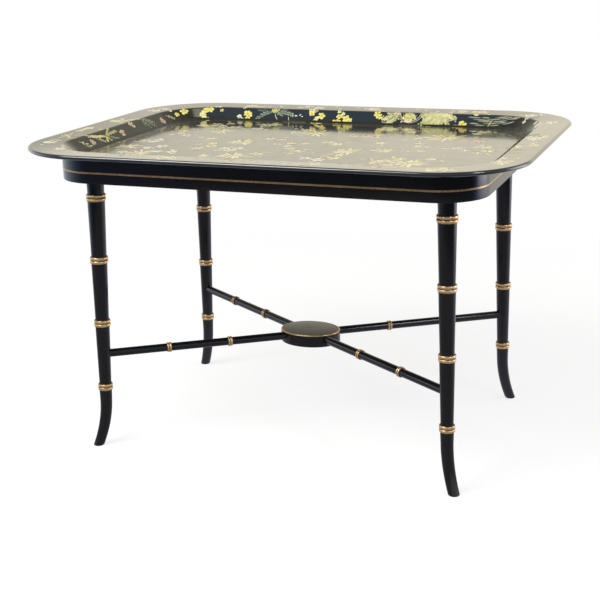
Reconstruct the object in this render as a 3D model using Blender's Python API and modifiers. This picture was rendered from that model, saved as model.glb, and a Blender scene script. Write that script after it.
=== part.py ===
"""Tray table: a painted steel tray with a rolled edge, lying loose on an ebonised faux-bamboo stand.

Metres, +Z up. The origin is on the floor below the middle of the tray. +X runs along the tray's long side,
and the front is at -Y.
"""

import math

import bmesh
import bpy
from mathutils import Vector

# Clearance between pieces that touch
FIT_GAP = 0.0003

# Tray
TABLE_HEIGHT = 0.500  # floor to the top of the tray's rim
TRAY_LENGTH = 0.787
TRAY_WIDTH = 0.593
TRAY_CORNER_RADIUS = 0.1315
CORNER_TIGHTENING = 0.68  # loss of corner radius per metre of inset, where 1 keeps the corners concentric
SHEET = 0.0012
EDGE_WIRE_DIAMETER = 0.0034
EDGE_CURL_END = math.radians(10)  # where the curl's free edge stops, below the rim
RIM_WIDTH = 0.048
RIM_FALL = 0.002  # the rim's inner edge below its outer edge
RIM_FILLET = 0.006
WELL_DEPTH = 0.0223  # top of the rim to the floor
WALL_RUN = 0.020
FLOOR_FILLET = 0.040

# Apron
OVERHANG_ENDS = 0.0565  # tray edge beyond the apron's face
OVERHANG_SIDES = 0.0505
APRON_CORNER_RADIUS = 0.0705
APRON_DEPTH = 0.0276  # below the seat of the tray's floor
APRON_LIP = 0.009  # above that seat, round the tray's wall
RAIL_THICKNESS = 0.024
BLOCK_SHOULDER = 0.045  # straight length of a corner block beyond its round corner
DOWEL_DIAMETER = 0.008
DOWEL_LENGTH = 0.036
DOWEL_HEIGHT = 0.009  # lower dowel above the apron's bottom
DOWEL_PITCH = 0.012

# Bearers and their screws
BEARER_SPACING = 0.220
BEARER_WIDTH = 0.045
BEARER_THICKNESS = 0.014
BEARER_LAP = 0.014
SCREW_LENGTH = 0.024
SCREW_HEAD_DIAMETER = 0.0084
SCREW_SHANK_DIAMETER = 0.004
SCREW_TIP = 0.004
SCREW_SINK = 0.0006
SCREW_SLOT = 0.0011

# Legs
LEG_INSET_ENDS = 0.056  # leg's axis to the apron's end face
LEG_INSET_SIDES = 0.051
LEG_TOP_DIAMETER = 0.0279
LEG_FOOT_DIAMETER = 0.0177
LEG_SPLAY = 0.0204  # outward drift per metre of drop
LEG_TENON_DIAMETER = 0.018
LEG_TENON_LENGTH = 0.022
LEG_RINGS = 4
TOP_RING_DROP = 0.0315  # top ring below the apron
FOOT_RING_HEIGHT = 0.1018
SEGMENT_GROWTH = 1.04  # each bamboo segment is longer than the one above it
LEG_RING_LENGTH = 0.0115
LEG_RING_RISE = 0.0021
NODE_SWELL = 0.0003  # a segment is fuller just under a ring and slimmer above the next
FOOT_SWEEP_HEIGHT = 0.078
FOOT_SWEEP = 0.0157
FOOT_CHAMFER = 0.001

# Stretchers
ARM_ABOVE_FOOT_RING = 0.0562
ARM_DIAMETER = 0.0132
ARM_SEAT = 0.0035  # how deep the full arm enters the leg and the boss
ARM_TENON_DIAMETER = 0.007
ARM_TENON_LENGTH = 0.009
ARM_RING_FROM_LEG = 0.107
ARM_RING_PITCH = 0.102
ARM_RING_LENGTH = 0.0075
ARM_RING_RISE = 0.0018
BOSS_LENGTH = 0.102
BOSS_WIDTH = 0.0805
BOSS_THICKNESS = 0.0215
BOSS_DROP = 0.0017  # the boss's middle below the arms' axes
BOSS_ROUNDING = 0.002

# Facets
CORNER_SEGMENTS = 7
EDGE_SEGMENTS = 10
FILLET_SEGMENTS = 3
BEAD_SEGMENTS = 3
FOOT_SEGMENTS = 4
LEG_SIDES = 14
ARM_SIDES = 10
PIN_SIDES = 12
BOSS_SIDES = 36
CUT_MARGIN = 0.005  # a cutter runs this far past the face it opens

# Heights and half sizes that follow from the values above
EDGE_RADIUS = EDGE_WIRE_DIAMETER / 2 + FIT_GAP + SHEET
EDGE_CENTRE = TABLE_HEIGHT - EDGE_RADIUS
FLOOR_TOP = TABLE_HEIGHT - WELL_DEPTH
SEAT_TOP = FLOOR_TOP - SHEET - FIT_GAP
APRON_TOP = SEAT_TOP + APRON_LIP
APRON_BOTTOM = SEAT_TOP - APRON_DEPTH
APRON_X = TRAY_LENGTH / 2 - OVERHANG_ENDS
APRON_Y = TRAY_WIDTH / 2 - OVERHANG_SIDES
BLOCK_SIZE = APRON_CORNER_RADIUS + BLOCK_SHOULDER
LEG_TOP = APRON_BOTTOM - FIT_GAP
LEG_TENON_TOP = APRON_BOTTOM + LEG_TENON_LENGTH
LEG_X = APRON_X - LEG_INSET_ENDS
LEG_Y = APRON_Y - LEG_INSET_SIDES
LEG_REACH = math.hypot(LEG_X, LEG_Y)
ARM_HEIGHT = FOOT_RING_HEIGHT + ARM_ABOVE_FOOT_RING
BEARER_END = APRON_Y - RAIL_THICKNESS + BEARER_LAP

SIDES_X = {"left": -1, "right": 1}
SIDES_Y = {"front": -1, "back": 1}
CORNERS = {f"{depth}_{side}": (sx, sy) for depth, sy in SIDES_Y.items() for side, sx in SIDES_X.items()}


def clear_scene():
    for obj in list(bpy.data.objects):
        bpy.data.objects.remove(obj, do_unlink=True)


def new_collection(name):
    collection = bpy.data.collections.new(name)
    bpy.context.scene.collection.children.link(collection)
    return collection


clear_scene()
PARTS = new_collection("painted_tray_table")
CUTTERS = new_collection("cutters")


def new_material(name, colour, roughness, metallic=0.0):
    material = bpy.data.materials.new(name)
    material.use_nodes = True
    shader = material.node_tree.nodes["Principled BSDF"]
    shader.inputs["Base Color"].default_value = (*colour, 1.0)
    shader.inputs["Roughness"].default_value = roughness
    shader.inputs["Metallic"].default_value = metallic
    return material


TRAY_LACQUER = new_material("tray_lacquer", (0.013, 0.014, 0.018), 0.12)
STAND_LACQUER = new_material("stand_lacquer", (0.010, 0.010, 0.011), 0.28)
BARE_WOOD = new_material("bare_wood", (0.42, 0.28, 0.16), 0.60)
STEEL = new_material("steel", (0.45, 0.45, 0.46), 0.35, metallic=1.0)


def new_empty(name):
    empty = bpy.data.objects.new(name, None)
    PARTS.objects.link(empty)
    return empty


STAND = new_empty("stand")
TRAY_LIFT = new_empty("tray_lift")


def add_part(name, data, material, parent):
    part = bpy.data.objects.new(name, data)
    data.materials.clear()
    data.materials.append(material)
    part.parent = parent
    PARTS.objects.link(part)
    return part


def add_cutter(name, mesh):
    cutter = bpy.data.objects.new(name, mesh)
    cutter.hide_render = True
    cutter.display_type = "WIRE"
    CUTTERS.objects.link(cutter)
    return cutter


def cut(part, cutter):
    modifier = part.modifiers.new(cutter.name, "BOOLEAN")
    modifier.operation = "DIFFERENCE"
    modifier.solver = "EXACT"
    modifier.object = cutter


def mesh_from(name, bm):
    bmesh.ops.recalc_face_normals(bm, faces=bm.faces)
    mesh = bpy.data.meshes.new(name)
    bm.to_mesh(mesh)
    bm.free()
    return mesh


def smooth(mesh):
    mesh.shade_smooth()
    mesh.set_sharp_from_angle(angle=math.radians(40))


# Shapes

def box(name, low, high):
    low, high = Vector(low), Vector(high)
    bm = bmesh.new()
    bmesh.ops.create_cube(bm, size=1.0)
    bmesh.ops.scale(bm, vec=high - low, verts=bm.verts)
    bmesh.ops.translate(bm, vec=(low + high) / 2, verts=bm.verts)
    return mesh_from(name, bm)


def pin(name, radius, length):
    bm = bmesh.new()
    bmesh.ops.create_cone(bm, cap_ends=True, segments=PIN_SIDES, radius1=radius, radius2=radius, depth=length)
    mesh = mesh_from(name, bm)
    smooth(mesh)
    return mesh


def prism(name, outline, bottom, top):
    bm = bmesh.new()
    face = bm.faces.new([bm.verts.new((x, y, bottom)) for x, y in outline])
    walls = bmesh.ops.extrude_face_region(bm, geom=[face])
    lifted = [item for item in walls["geom"] if isinstance(item, bmesh.types.BMVert)]
    bmesh.ops.translate(bm, vec=(0, 0, top - bottom), verts=lifted)
    return mesh_from(name, bm)


def turned(name, profile, sides):
    """A solid turned about Z from (radius, height) points, which start and end on the axis and run down."""
    line = bpy.data.meshes.new(name)
    edges = [(i, i + 1) for i in range(len(profile) - 1)]
    line.from_pydata([(radius, 0, height) for radius, height in profile], edges, [])
    blank = bpy.data.objects.new(name, line)
    bpy.context.scene.collection.objects.link(blank)
    screw = blank.modifiers.new("turn", "SCREW")
    screw.axis = "Z"
    screw.steps = screw.render_steps = sides
    screw.use_merge_vertices = True
    screw.merge_threshold = 0.00001
    graph = bpy.context.evaluated_depsgraph_get()
    mesh = bpy.data.meshes.new_from_object(blank.evaluated_get(graph))
    bpy.data.objects.remove(blank, do_unlink=True)
    mesh.name = name
    smooth(mesh)
    return mesh


def loft(rings, close_first, close_last):
    """A skin over rings of points. With the rings running inwards, its faces point up."""
    bm = bmesh.new()
    loops = [[bm.verts.new(point) for point in ring] for ring in rings]
    for outer, inner in zip(loops, loops[1:]):
        for i in range(len(outer)):
            j = (i + 1) % len(outer)
            bm.faces.new((outer[i], outer[j], inner[j], inner[i]))
    if close_first:
        bm.faces.new(list(reversed(loops[0])))
    if close_last:
        bm.faces.new(loops[-1])
    return bm


def arc(centre, radius, start, end, segments):
    angles = [start + (end - start) * i / segments for i in range(segments + 1)]
    return [(centre[0] + radius * math.cos(a), centre[1] + radius * math.sin(a)) for a in angles]


def rounded_rectangle(half_x, half_y, radius):
    points = []
    for quarter, (sx, sy) in enumerate(((1, 1), (-1, 1), (-1, -1), (1, -1))):
        start = quarter * math.pi / 2
        centre = (sx * (half_x - radius), sy * (half_y - radius))
        points += arc(centre, radius, start, start + math.pi / 2, CORNER_SEGMENTS)
    return points


# Tray

def tray_ring(inset, height):
    """The tray's outline, drawn in by an inset. Its corners are concentric across the rolled edge only."""
    roll = 2 * EDGE_RADIUS
    radius = TRAY_CORNER_RADIUS - min(inset, roll) - CORNER_TIGHTENING * max(inset - roll, 0)
    outline = rounded_rectangle(TRAY_LENGTH / 2 - inset, TRAY_WIDTH / 2 - inset, radius)
    return [(x, y, height) for x, y in outline]


def edge_section():
    """(inset, height) round the rolled edge, from its free end under the rim, out and over to the rim."""
    centre = (EDGE_RADIUS, EDGE_CENTRE)
    return arc(centre, EDGE_RADIUS, 2 * math.pi + EDGE_CURL_END, math.pi / 2, EDGE_SEGMENTS)


def well_section(below):
    """(inset, height) from the rim down the wall to the floor, at a distance below the painted face."""
    fall = math.atan2(RIM_FALL, RIM_WIDTH - EDGE_RADIUS)
    slope = math.atan2(WELL_DEPTH - RIM_FALL, WALL_RUN)
    rim_tangent = RIM_FILLET * math.tan((slope - fall) / 2)
    floor_tangent = FLOOR_FILLET * math.tan(slope / 2)
    up = math.pi / 2
    rim_start = (
        RIM_WIDTH - rim_tangent * math.cos(fall),
        TABLE_HEIGHT - RIM_FALL + rim_tangent * math.sin(fall),
    )
    rim_centre = (
        rim_start[0] - RIM_FILLET * math.sin(fall),
        rim_start[1] - RIM_FILLET * math.cos(fall),
    )
    floor_centre = (RIM_WIDTH + WALL_RUN + floor_tangent, FLOOR_TOP + FLOOR_FILLET)
    rim = arc(rim_centre, RIM_FILLET - below, up - fall, up - slope, FILLET_SEGMENTS)
    floor = arc(floor_centre, FLOOR_FILLET + below, -up - slope, -up, FILLET_SEGMENTS)
    return rim + floor


def make_tray():
    rings = [tray_ring(inset, height) for inset, height in edge_section() + well_section(0)]
    bm = loft(rings, close_first=False, close_last=True)
    mesh = bpy.data.meshes.new("tray")
    bm.to_mesh(mesh)
    bm.free()
    smooth(mesh)
    tray = add_part("tray", mesh, TRAY_LACQUER, TRAY_LIFT)
    shell = tray.modifiers.new("sheet", "SOLIDIFY")
    shell.thickness = SHEET
    shell.offset = -1
    shell.use_even_offset = True


def make_edge_wire():
    curve = bpy.data.curves.new("edge_wire", "CURVE")
    curve.dimensions = "3D"
    curve.bevel_depth = EDGE_WIRE_DIAMETER / 2
    curve.bevel_resolution = 2
    points = tray_ring(EDGE_RADIUS, EDGE_CENTRE)
    spline = curve.splines.new("POLY")
    spline.points.add(len(points) - 1)
    for point, place in zip(spline.points, points):
        point.co = (*place, 1)
    spline.use_cyclic_u = True
    add_part("edge_wire", curve, STEEL, TRAY_LIFT)


def make_seat_cutter():
    """The tray's underside with its clearance, and all the room above it."""
    above = TABLE_HEIGHT + CUT_MARGIN
    below = SHEET + FIT_GAP
    section = [(0, above), (0, TABLE_HEIGHT - below)] + well_section(below)
    rings = [tray_ring(inset, height) for inset, height in section]
    return add_cutter("seat_cutter", mesh_from("seat_cutter", loft(rings, close_first=True, close_last=True)))


# Apron

def make_rails():
    run_x = APRON_X - BLOCK_SIZE - FIT_GAP
    run_y = APRON_Y - BLOCK_SIZE - FIT_GAP
    inner_x = APRON_X - RAIL_THICKNESS
    inner_y = APRON_Y - RAIL_THICKNESS
    spans = {
        "front": ((-run_x, -APRON_Y), (run_x, -inner_y)),
        "back": ((-run_x, inner_y), (run_x, APRON_Y)),
        "left": ((-APRON_X, -run_y), (-inner_x, run_y)),
        "right": ((inner_x, -run_y), (APRON_X, run_y)),
    }
    rails = {}
    for side, (low, high) in spans.items():
        name = f"rail_{side}"
        mesh = box(name, (*low, APRON_BOTTOM), (*high, APRON_TOP))
        rails[side] = add_part(name, mesh, STAND_LACQUER, STAND)
    return rails


def stand_at_leg(obj, sx, sy):
    """Puts an object on a leg's axis, with its own +X outwards."""
    obj.location = (sx * LEG_X, sy * LEG_Y, 0)
    obj.rotation_euler.z = math.atan2(sy * LEG_Y, sx * LEG_X)


def block_outline(sx, sy):
    """A corner block from above: round outside, with a slanted face inside."""
    far_x, far_y = APRON_X - BLOCK_SIZE, APRON_Y - BLOCK_SIZE
    centre = (APRON_X - APRON_CORNER_RADIUS, APRON_Y - APRON_CORNER_RADIUS)
    corner = arc(centre, APRON_CORNER_RADIUS, 0, math.pi / 2, CORNER_SEGMENTS)
    back_end = [(far_x, APRON_Y), (far_x, APRON_Y - RAIL_THICKNESS)]
    side_end = [(APRON_X - RAIL_THICKNESS, far_y), (APRON_X, far_y)]
    return [(sx * x, sy * y) for x, y in corner + back_end + side_end]


def make_corner_blocks():
    blocks = {}
    top, bottom = LEG_TENON_TOP + FIT_GAP, APRON_BOTTOM - CUT_MARGIN
    radius = LEG_TENON_DIAMETER / 2 + FIT_GAP
    hole = turned("mortise", [(0, top), (radius, top), (radius, bottom), (0, bottom)], LEG_SIDES)
    for corner, (sx, sy) in CORNERS.items():
        name = f"corner_block_{corner}"
        mesh = prism(name, block_outline(sx, sy), APRON_BOTTOM, APRON_TOP)
        blocks[corner] = add_part(name, mesh, STAND_LACQUER, STAND)
        mortise = add_cutter(f"mortise_{corner}", hole)
        stand_at_leg(mortise, sx, sy)
        cut(blocks[corner], mortise)
    return blocks


def make_dowels(rails, blocks):
    """Two dowels at each end of each rail, which cut their own holes in the rail and its corner block."""
    dowel = pin("dowel", DOWEL_DIAMETER / 2, DOWEL_LENGTH)
    hole = pin("dowel_hole", DOWEL_DIAMETER / 2 + FIT_GAP, DOWEL_LENGTH + 2 * FIT_GAP)
    along_x = (0, math.pi / 2, 0)
    along_y = (math.pi / 2, 0, 0)
    for corner, (sx, sy) in CORNERS.items():
        depth, side = corner.split("_")
        joint_x = APRON_X - BLOCK_SIZE - FIT_GAP / 2
        joint_y = APRON_Y - BLOCK_SIZE - FIT_GAP / 2
        middle = RAIL_THICKNESS / 2
        joints = {
            depth: ((sx * joint_x, sy * (APRON_Y - middle)), along_x),
            side: ((sx * (APRON_X - middle), sy * joint_y), along_y),
        }
        for rail, (place, turn) in joints.items():
            for level, height in (("lower", DOWEL_HEIGHT), ("upper", DOWEL_HEIGHT + DOWEL_PITCH)):
                name = f"dowel_{rail}_rail_{corner}_{level}"
                piece = add_part(name, dowel, BARE_WOOD, STAND)
                cutter = add_cutter(f"{name}_hole", hole)
                piece.location = cutter.location = (*place, APRON_BOTTOM + height)
                piece.rotation_euler = cutter.rotation_euler = turn
                cut(rails[rail], cutter)
                cut(blocks[corner], cutter)


# Bearers

def screw_profile():
    head, shank = SCREW_HEAD_DIAMETER / 2, SCREW_SHANK_DIAMETER / 2
    return [(0, 0), (head, 0), (shank, shank - head), (shank, SCREW_TIP - SCREW_LENGTH), (0, -SCREW_LENGTH)]


def screw_hole_profile():
    """The screw with its clearance, and a straight way in for its head."""
    grown = [(radius + FIT_GAP, height) for radius, height in screw_profile()[1:-1]]
    mouth = SCREW_SINK + CUT_MARGIN
    return [(0, mouth), (grown[0][0], mouth)] + grown + [(0, -SCREW_LENGTH - FIT_GAP)]


def make_screw(name, place, held):
    """A slotted countersunk screw, which cuts its own hole in the pieces that it holds."""
    screw = add_part(name, turned(name, screw_profile(), PIN_SIDES), STEEL, STAND)
    hole = add_cutter(f"{name}_hole", turned(f"{name}_hole", screw_hole_profile(), PIN_SIDES))
    reach, half = SCREW_HEAD_DIAMETER, SCREW_SLOT / 2
    groove = box(f"{name}_slot", (-reach, -half, -SCREW_SLOT), (reach, half, CUT_MARGIN))
    slot = add_cutter(f"{name}_slot", groove)
    screw.location = hole.location = slot.location = place
    cut(screw, slot)
    for piece in held:
        cut(piece, hole)


def make_bearers(rails):
    """Bearers let into the front and back rails, flush with the seat, each end held down by one screw."""
    half = BEARER_WIDTH / 2
    bottom = SEAT_TOP - BEARER_THICKNESS
    for side, sx in SIDES_X.items():
        name = f"bearer_{side}"
        middle = sx * BEARER_SPACING / 2
        mesh = box(name, (middle - half, -BEARER_END, bottom), (middle + half, BEARER_END, SEAT_TOP))
        bearer = add_part(name, mesh, BARE_WOOD, STAND)
        low = (middle - half - FIT_GAP, -BEARER_END - FIT_GAP, bottom - FIT_GAP)
        high = (middle + half + FIT_GAP, BEARER_END + FIT_GAP, TABLE_HEIGHT)
        notch = add_cutter(f"{name}_notch", box(f"{name}_notch", low, high))
        for depth, sy in SIDES_Y.items():
            cut(rails[depth], notch)
            place = (middle, sy * (BEARER_END - BEARER_LAP / 2), SEAT_TOP - SCREW_SINK)
            make_screw(f"bearer_screw_{depth}_{side}", place, (bearer, rails[depth]))


# Legs

def leg_radius(height):
    share = height / APRON_BOTTOM
    return (LEG_FOOT_DIAMETER + (LEG_TOP_DIAMETER - LEG_FOOT_DIAMETER) * share) / 2


def leg_drift(height):
    """How far the leg's centre lies outwards of its top: a straight splay, then the sweep of the foot."""
    splay = LEG_SPLAY * max(APRON_BOTTOM - height, 0)
    below = max(FOOT_SWEEP_HEIGHT - height, 0) / FOOT_SWEEP_HEIGHT
    return splay + FOOT_SWEEP * below**2


def leg_ring_heights():
    top = APRON_BOTTOM - TOP_RING_DROP
    steps = [SEGMENT_GROWTH**i for i in range(LEG_RINGS - 1)]
    unit = (top - FOOT_RING_HEIGHT) / sum(steps)
    return [top - unit * sum(steps[:i]) for i in range(LEG_RINGS)]


def double_ring(middle, radius, length, rise):
    """(radius, height) of two round beads with a groove between them, from the top down."""
    half = length / 4
    points = []
    for bead in (middle + half, middle - half):
        for i in range(BEAD_SEGMENTS + 1):
            angle = math.pi / 2 - math.pi * i / BEAD_SEGMENTS
            points.append((radius + rise * math.cos(angle), bead + half * math.sin(angle)))
    groove = BEAD_SEGMENTS
    return points[:groove] + points[groove + 1:]


def leg_profile():
    tenon = LEG_TENON_DIAMETER / 2
    points = [(0, LEG_TENON_TOP), (tenon, LEG_TENON_TOP), (tenon, LEG_TOP), (leg_radius(LEG_TOP), LEG_TOP)]
    for middle in leg_ring_heights():
        radius = leg_radius(middle)
        ring = double_ring(middle, radius, LEG_RING_LENGTH, LEG_RING_RISE)
        above, below = ring[0][1], ring[-1][1]
        points += [(radius - NODE_SWELL, above)] + ring[1:-1] + [(radius + NODE_SWELL, below)]
    for i in range(FOOT_SEGMENTS):
        height = FOOT_SWEEP_HEIGHT * (1 - i / FOOT_SEGMENTS)
        points.append((leg_radius(height), height))
    sole = leg_radius(0)
    return points + [(sole, FOOT_CHAMFER), (sole - FOOT_CHAMFER, 0), (0, 0)]


def make_legs():
    """Four legs from one turned blank, bent outwards along the leg's own +X."""
    mesh = turned("leg", leg_profile(), LEG_SIDES)
    for vertex in mesh.vertices:
        vertex.co.x += leg_drift(vertex.co.z)
    legs = {}
    for corner, (sx, sy) in CORNERS.items():
        leg = add_part(f"leg_{corner}", mesh, STAND_LACQUER, STAND)
        stand_at_leg(leg, sx, sy)
        legs[corner] = leg
    return legs


# Stretchers

def boss_reach():
    """Centre of the boss to its edge, along an arm."""
    across_x = LEG_X / LEG_REACH / (BOSS_LENGTH / 2)
    across_y = LEG_Y / LEG_REACH / (BOSS_WIDTH / 2)
    return 1 / math.hypot(across_x, across_y)


def arm_profile(gap):
    """An arm from its leg down to the boss, by distance from the boss's centre, grown by a gap."""
    leg_axis = LEG_REACH + leg_drift(ARM_HEIGHT)
    outer = leg_axis - leg_radius(ARM_HEIGHT) + ARM_SEAT + gap
    inner = boss_reach() - ARM_SEAT - gap
    body, tenon = ARM_DIAMETER / 2 + gap, ARM_TENON_DIAMETER / 2 + gap
    points = [(0, outer + ARM_TENON_LENGTH), (tenon, outer + ARM_TENON_LENGTH)]
    points += [(tenon, outer), (body, outer)]
    for middle in (leg_axis - ARM_RING_FROM_LEG, leg_axis - ARM_RING_FROM_LEG - ARM_RING_PITCH):
        points += double_ring(middle, body, ARM_RING_LENGTH, ARM_RING_RISE)
    points += [(body, inner), (tenon, inner)]
    return points + [(tenon, inner - ARM_TENON_LENGTH), (0, inner - ARM_TENON_LENGTH)]


def make_boss():
    bm = bmesh.new()
    bmesh.ops.create_cone(bm, cap_ends=True, segments=BOSS_SIDES, radius1=1, radius2=1, depth=BOSS_THICKNESS)
    bmesh.ops.scale(bm, vec=(BOSS_LENGTH / 2, BOSS_WIDTH / 2, 1), verts=bm.verts)
    boss = add_part("stretcher_boss", mesh_from("stretcher_boss", bm), STAND_LACQUER, STAND)
    boss.location.z = ARM_HEIGHT - BOSS_DROP
    rounding = boss.modifiers.new("rounded_edges", "BEVEL")
    rounding.width = BOSS_ROUNDING
    rounding.segments = 2
    rounding.limit_method = "ANGLE"
    rounding.angle_limit = math.radians(40)
    return boss


def make_arms(legs, boss):
    """One arm to each leg. A grown copy of the arm cuts its sockets in the leg and the boss."""
    mesh = turned("stretcher_arm", arm_profile(0), ARM_SIDES)
    socket = turned("stretcher_socket", arm_profile(FIT_GAP), ARM_SIDES)
    for corner, leg in legs.items():
        arm = add_part(f"stretcher_arm_{corner}", mesh, STAND_LACQUER, STAND)
        cutter = add_cutter(f"stretcher_socket_{corner}", socket)
        arm.location = cutter.location = (0, 0, ARM_HEIGHT)
        arm.rotation_euler = cutter.rotation_euler = (0, math.pi / 2, leg.rotation_euler.z)
        cut(leg, cutter)
        cut(boss, cutter)


def main():
    make_tray()
    make_edge_wire()
    rails = make_rails()
    blocks = make_corner_blocks()
    seat = make_seat_cutter()
    for piece in (*rails.values(), *blocks.values()):
        cut(piece, seat)
    make_dowels(rails, blocks)
    make_bearers(rails)
    make_arms(make_legs(), make_boss())


main()
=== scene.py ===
"""Looks of a tray table: a black tray painted with flowers, on an ebonised faux-bamboo stand.

Metres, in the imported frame: +Z up, +X along the tray's long side, the front at -Y.
"""

import random
from math import atan2, ceil, cos, hypot, pi, radians, sin, tan, tau

import bmesh
import bpy
import numpy as np
from mathutils import Matrix, Vector


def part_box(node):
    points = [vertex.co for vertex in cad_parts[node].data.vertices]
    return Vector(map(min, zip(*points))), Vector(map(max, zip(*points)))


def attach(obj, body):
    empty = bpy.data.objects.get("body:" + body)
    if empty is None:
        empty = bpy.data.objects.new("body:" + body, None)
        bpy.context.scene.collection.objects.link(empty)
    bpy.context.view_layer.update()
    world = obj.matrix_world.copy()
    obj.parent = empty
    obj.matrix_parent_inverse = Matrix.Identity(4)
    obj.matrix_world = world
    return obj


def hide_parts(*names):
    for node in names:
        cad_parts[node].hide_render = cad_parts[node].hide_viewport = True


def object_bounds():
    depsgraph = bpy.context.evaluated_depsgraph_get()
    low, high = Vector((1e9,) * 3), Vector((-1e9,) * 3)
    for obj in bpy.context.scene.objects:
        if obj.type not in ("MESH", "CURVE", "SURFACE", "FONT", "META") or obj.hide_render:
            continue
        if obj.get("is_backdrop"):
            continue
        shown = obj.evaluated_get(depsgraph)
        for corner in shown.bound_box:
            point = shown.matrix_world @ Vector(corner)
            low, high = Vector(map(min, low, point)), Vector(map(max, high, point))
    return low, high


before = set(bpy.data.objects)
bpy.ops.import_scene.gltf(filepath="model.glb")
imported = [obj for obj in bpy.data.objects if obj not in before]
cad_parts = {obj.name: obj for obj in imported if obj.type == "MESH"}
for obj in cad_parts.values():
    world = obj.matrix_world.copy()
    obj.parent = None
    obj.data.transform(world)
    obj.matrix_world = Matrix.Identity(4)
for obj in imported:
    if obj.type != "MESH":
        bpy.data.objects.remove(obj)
CAD_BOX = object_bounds()

# Tray, as in the solids
HALF_LENGTH, HALF_WIDTH, TABLE_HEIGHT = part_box("tray")[1]
TRAY_CORNER_RADIUS = 0.1315
CORNER_TIGHTENING = 0.68
SHEET = 0.0012
EDGE_RADIUS = 0.0032
EDGE_CURL_END = radians(10)
RIM_WIDTH = 0.048
RIM_FALL = 0.002
RIM_FILLET = 0.006
WELL_DEPTH = 0.0223
WALL_RUN = 0.02
FLOOR_FILLET = 0.02  # half of the solid's, because the photo shows a tighter turn
FLOOR_TOP = TABLE_HEIGHT - WELL_DEPTH

# Apron
APRON_LOW, APRON_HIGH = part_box("rail_front")
APRON_BOTTOM = APRON_LOW[2]
APRON_TOP = APRON_HIGH[2]
APRON_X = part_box("rail_right")[1][0]
APRON_Y = -APRON_LOW[1]
APRON_CORNER_RADIUS = 0.0705
LACQUER_FILM = 0.0002
APRON_ARRIS = 0.0012
APRON_RETURN = 0.006  # how far the lacquer turns under the apron
GILT_LINE_HEIGHT = 0.4653
GILT_LINE_WIDTH = 0.0031
GILT_FILM = 0.00012
GILT_LINE_CROWN = 0.7
HAND_WAVES = ((0.00015, 31, 17), (0.0001, 83, -59))  # how the line strays: height, waves along X and Y

# Legs
LEG_X = 0.281
LEG_Y = 0.195
LEG_TOP_DIAMETER = 0.0279
LEG_FOOT_DIAMETER = 0.0177
LEG_TENON_DIAMETER = 0.018
LEG_TENON_LENGTH = 0.022
LEG_SPLAY = 0.0204
LEG_RINGS = 4
TOP_RING_DROP = 0.0315
FOOT_RING_HEIGHT = 0.1018
SEGMENT_GROWTH = 1.04
LEG_RING_LENGTH = 0.0115
LEG_RING_RISE = 0.0021
NODE_SWELL = 0.0003
FOOT_SWEEP_HEIGHT = 0.078
FOOT_SWEEP = 0.0157
FOOT_CHAMFER = 0.001
FIT_GAP = 0.0003
LEG_REACH = hypot(LEG_X, LEG_Y)

# Stretchers
ARM_HEIGHT = 0.158
ARM_DIAMETER = 0.0132
ARM_SEAT = 0.0035
ARM_RING_FROM_LEG = 0.107
ARM_RING_PITCH = 0.102
ARM_RING_LENGTH = 0.0075
ARM_RING_RISE = 0.0018
BOSS_LENGTH = 0.102
BOSS_WIDTH = 0.0805
BOSS_THICKNESS = 0.0215
BOSS_DROP = 0.0017
BOSS_ROUNDING = 0.002
BOSS_MIDDLE = 0.004  # half the width of the innermost facet of its flats
BOSS_CROWN = 0.8

# Facets
CORNER_SEGMENTS = 28
EDGE_SEGMENTS = 22
FILLET_SEGMENTS = 14
BEAD_SEGMENTS = 10
ARRIS_SEGMENTS = 6
TURNED_SIDES = 48
BOSS_SIDES = 96
FOOT_STATIONS = 14

CORNERS = {
    f"{depth}_{side}": (sx, sy)
    for depth, sy in (("front", -1), ("back", 1))
    for side, sx in (("left", -1), ("right", 1))
}


def srgb(red, green, blue):
    """A linear colour from display values of 0 to 255."""
    shares = (value / 255 for value in (red, green, blue))
    return tuple(s / 12.92 if s <= 0.04045 else ((s + 0.055) / 1.055) ** 2.4 for s in shares)


# Materials

VARNISH_ROUGHNESS = 0.09
LACQUER_IOR = 1.5  # of the varnish too


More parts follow.
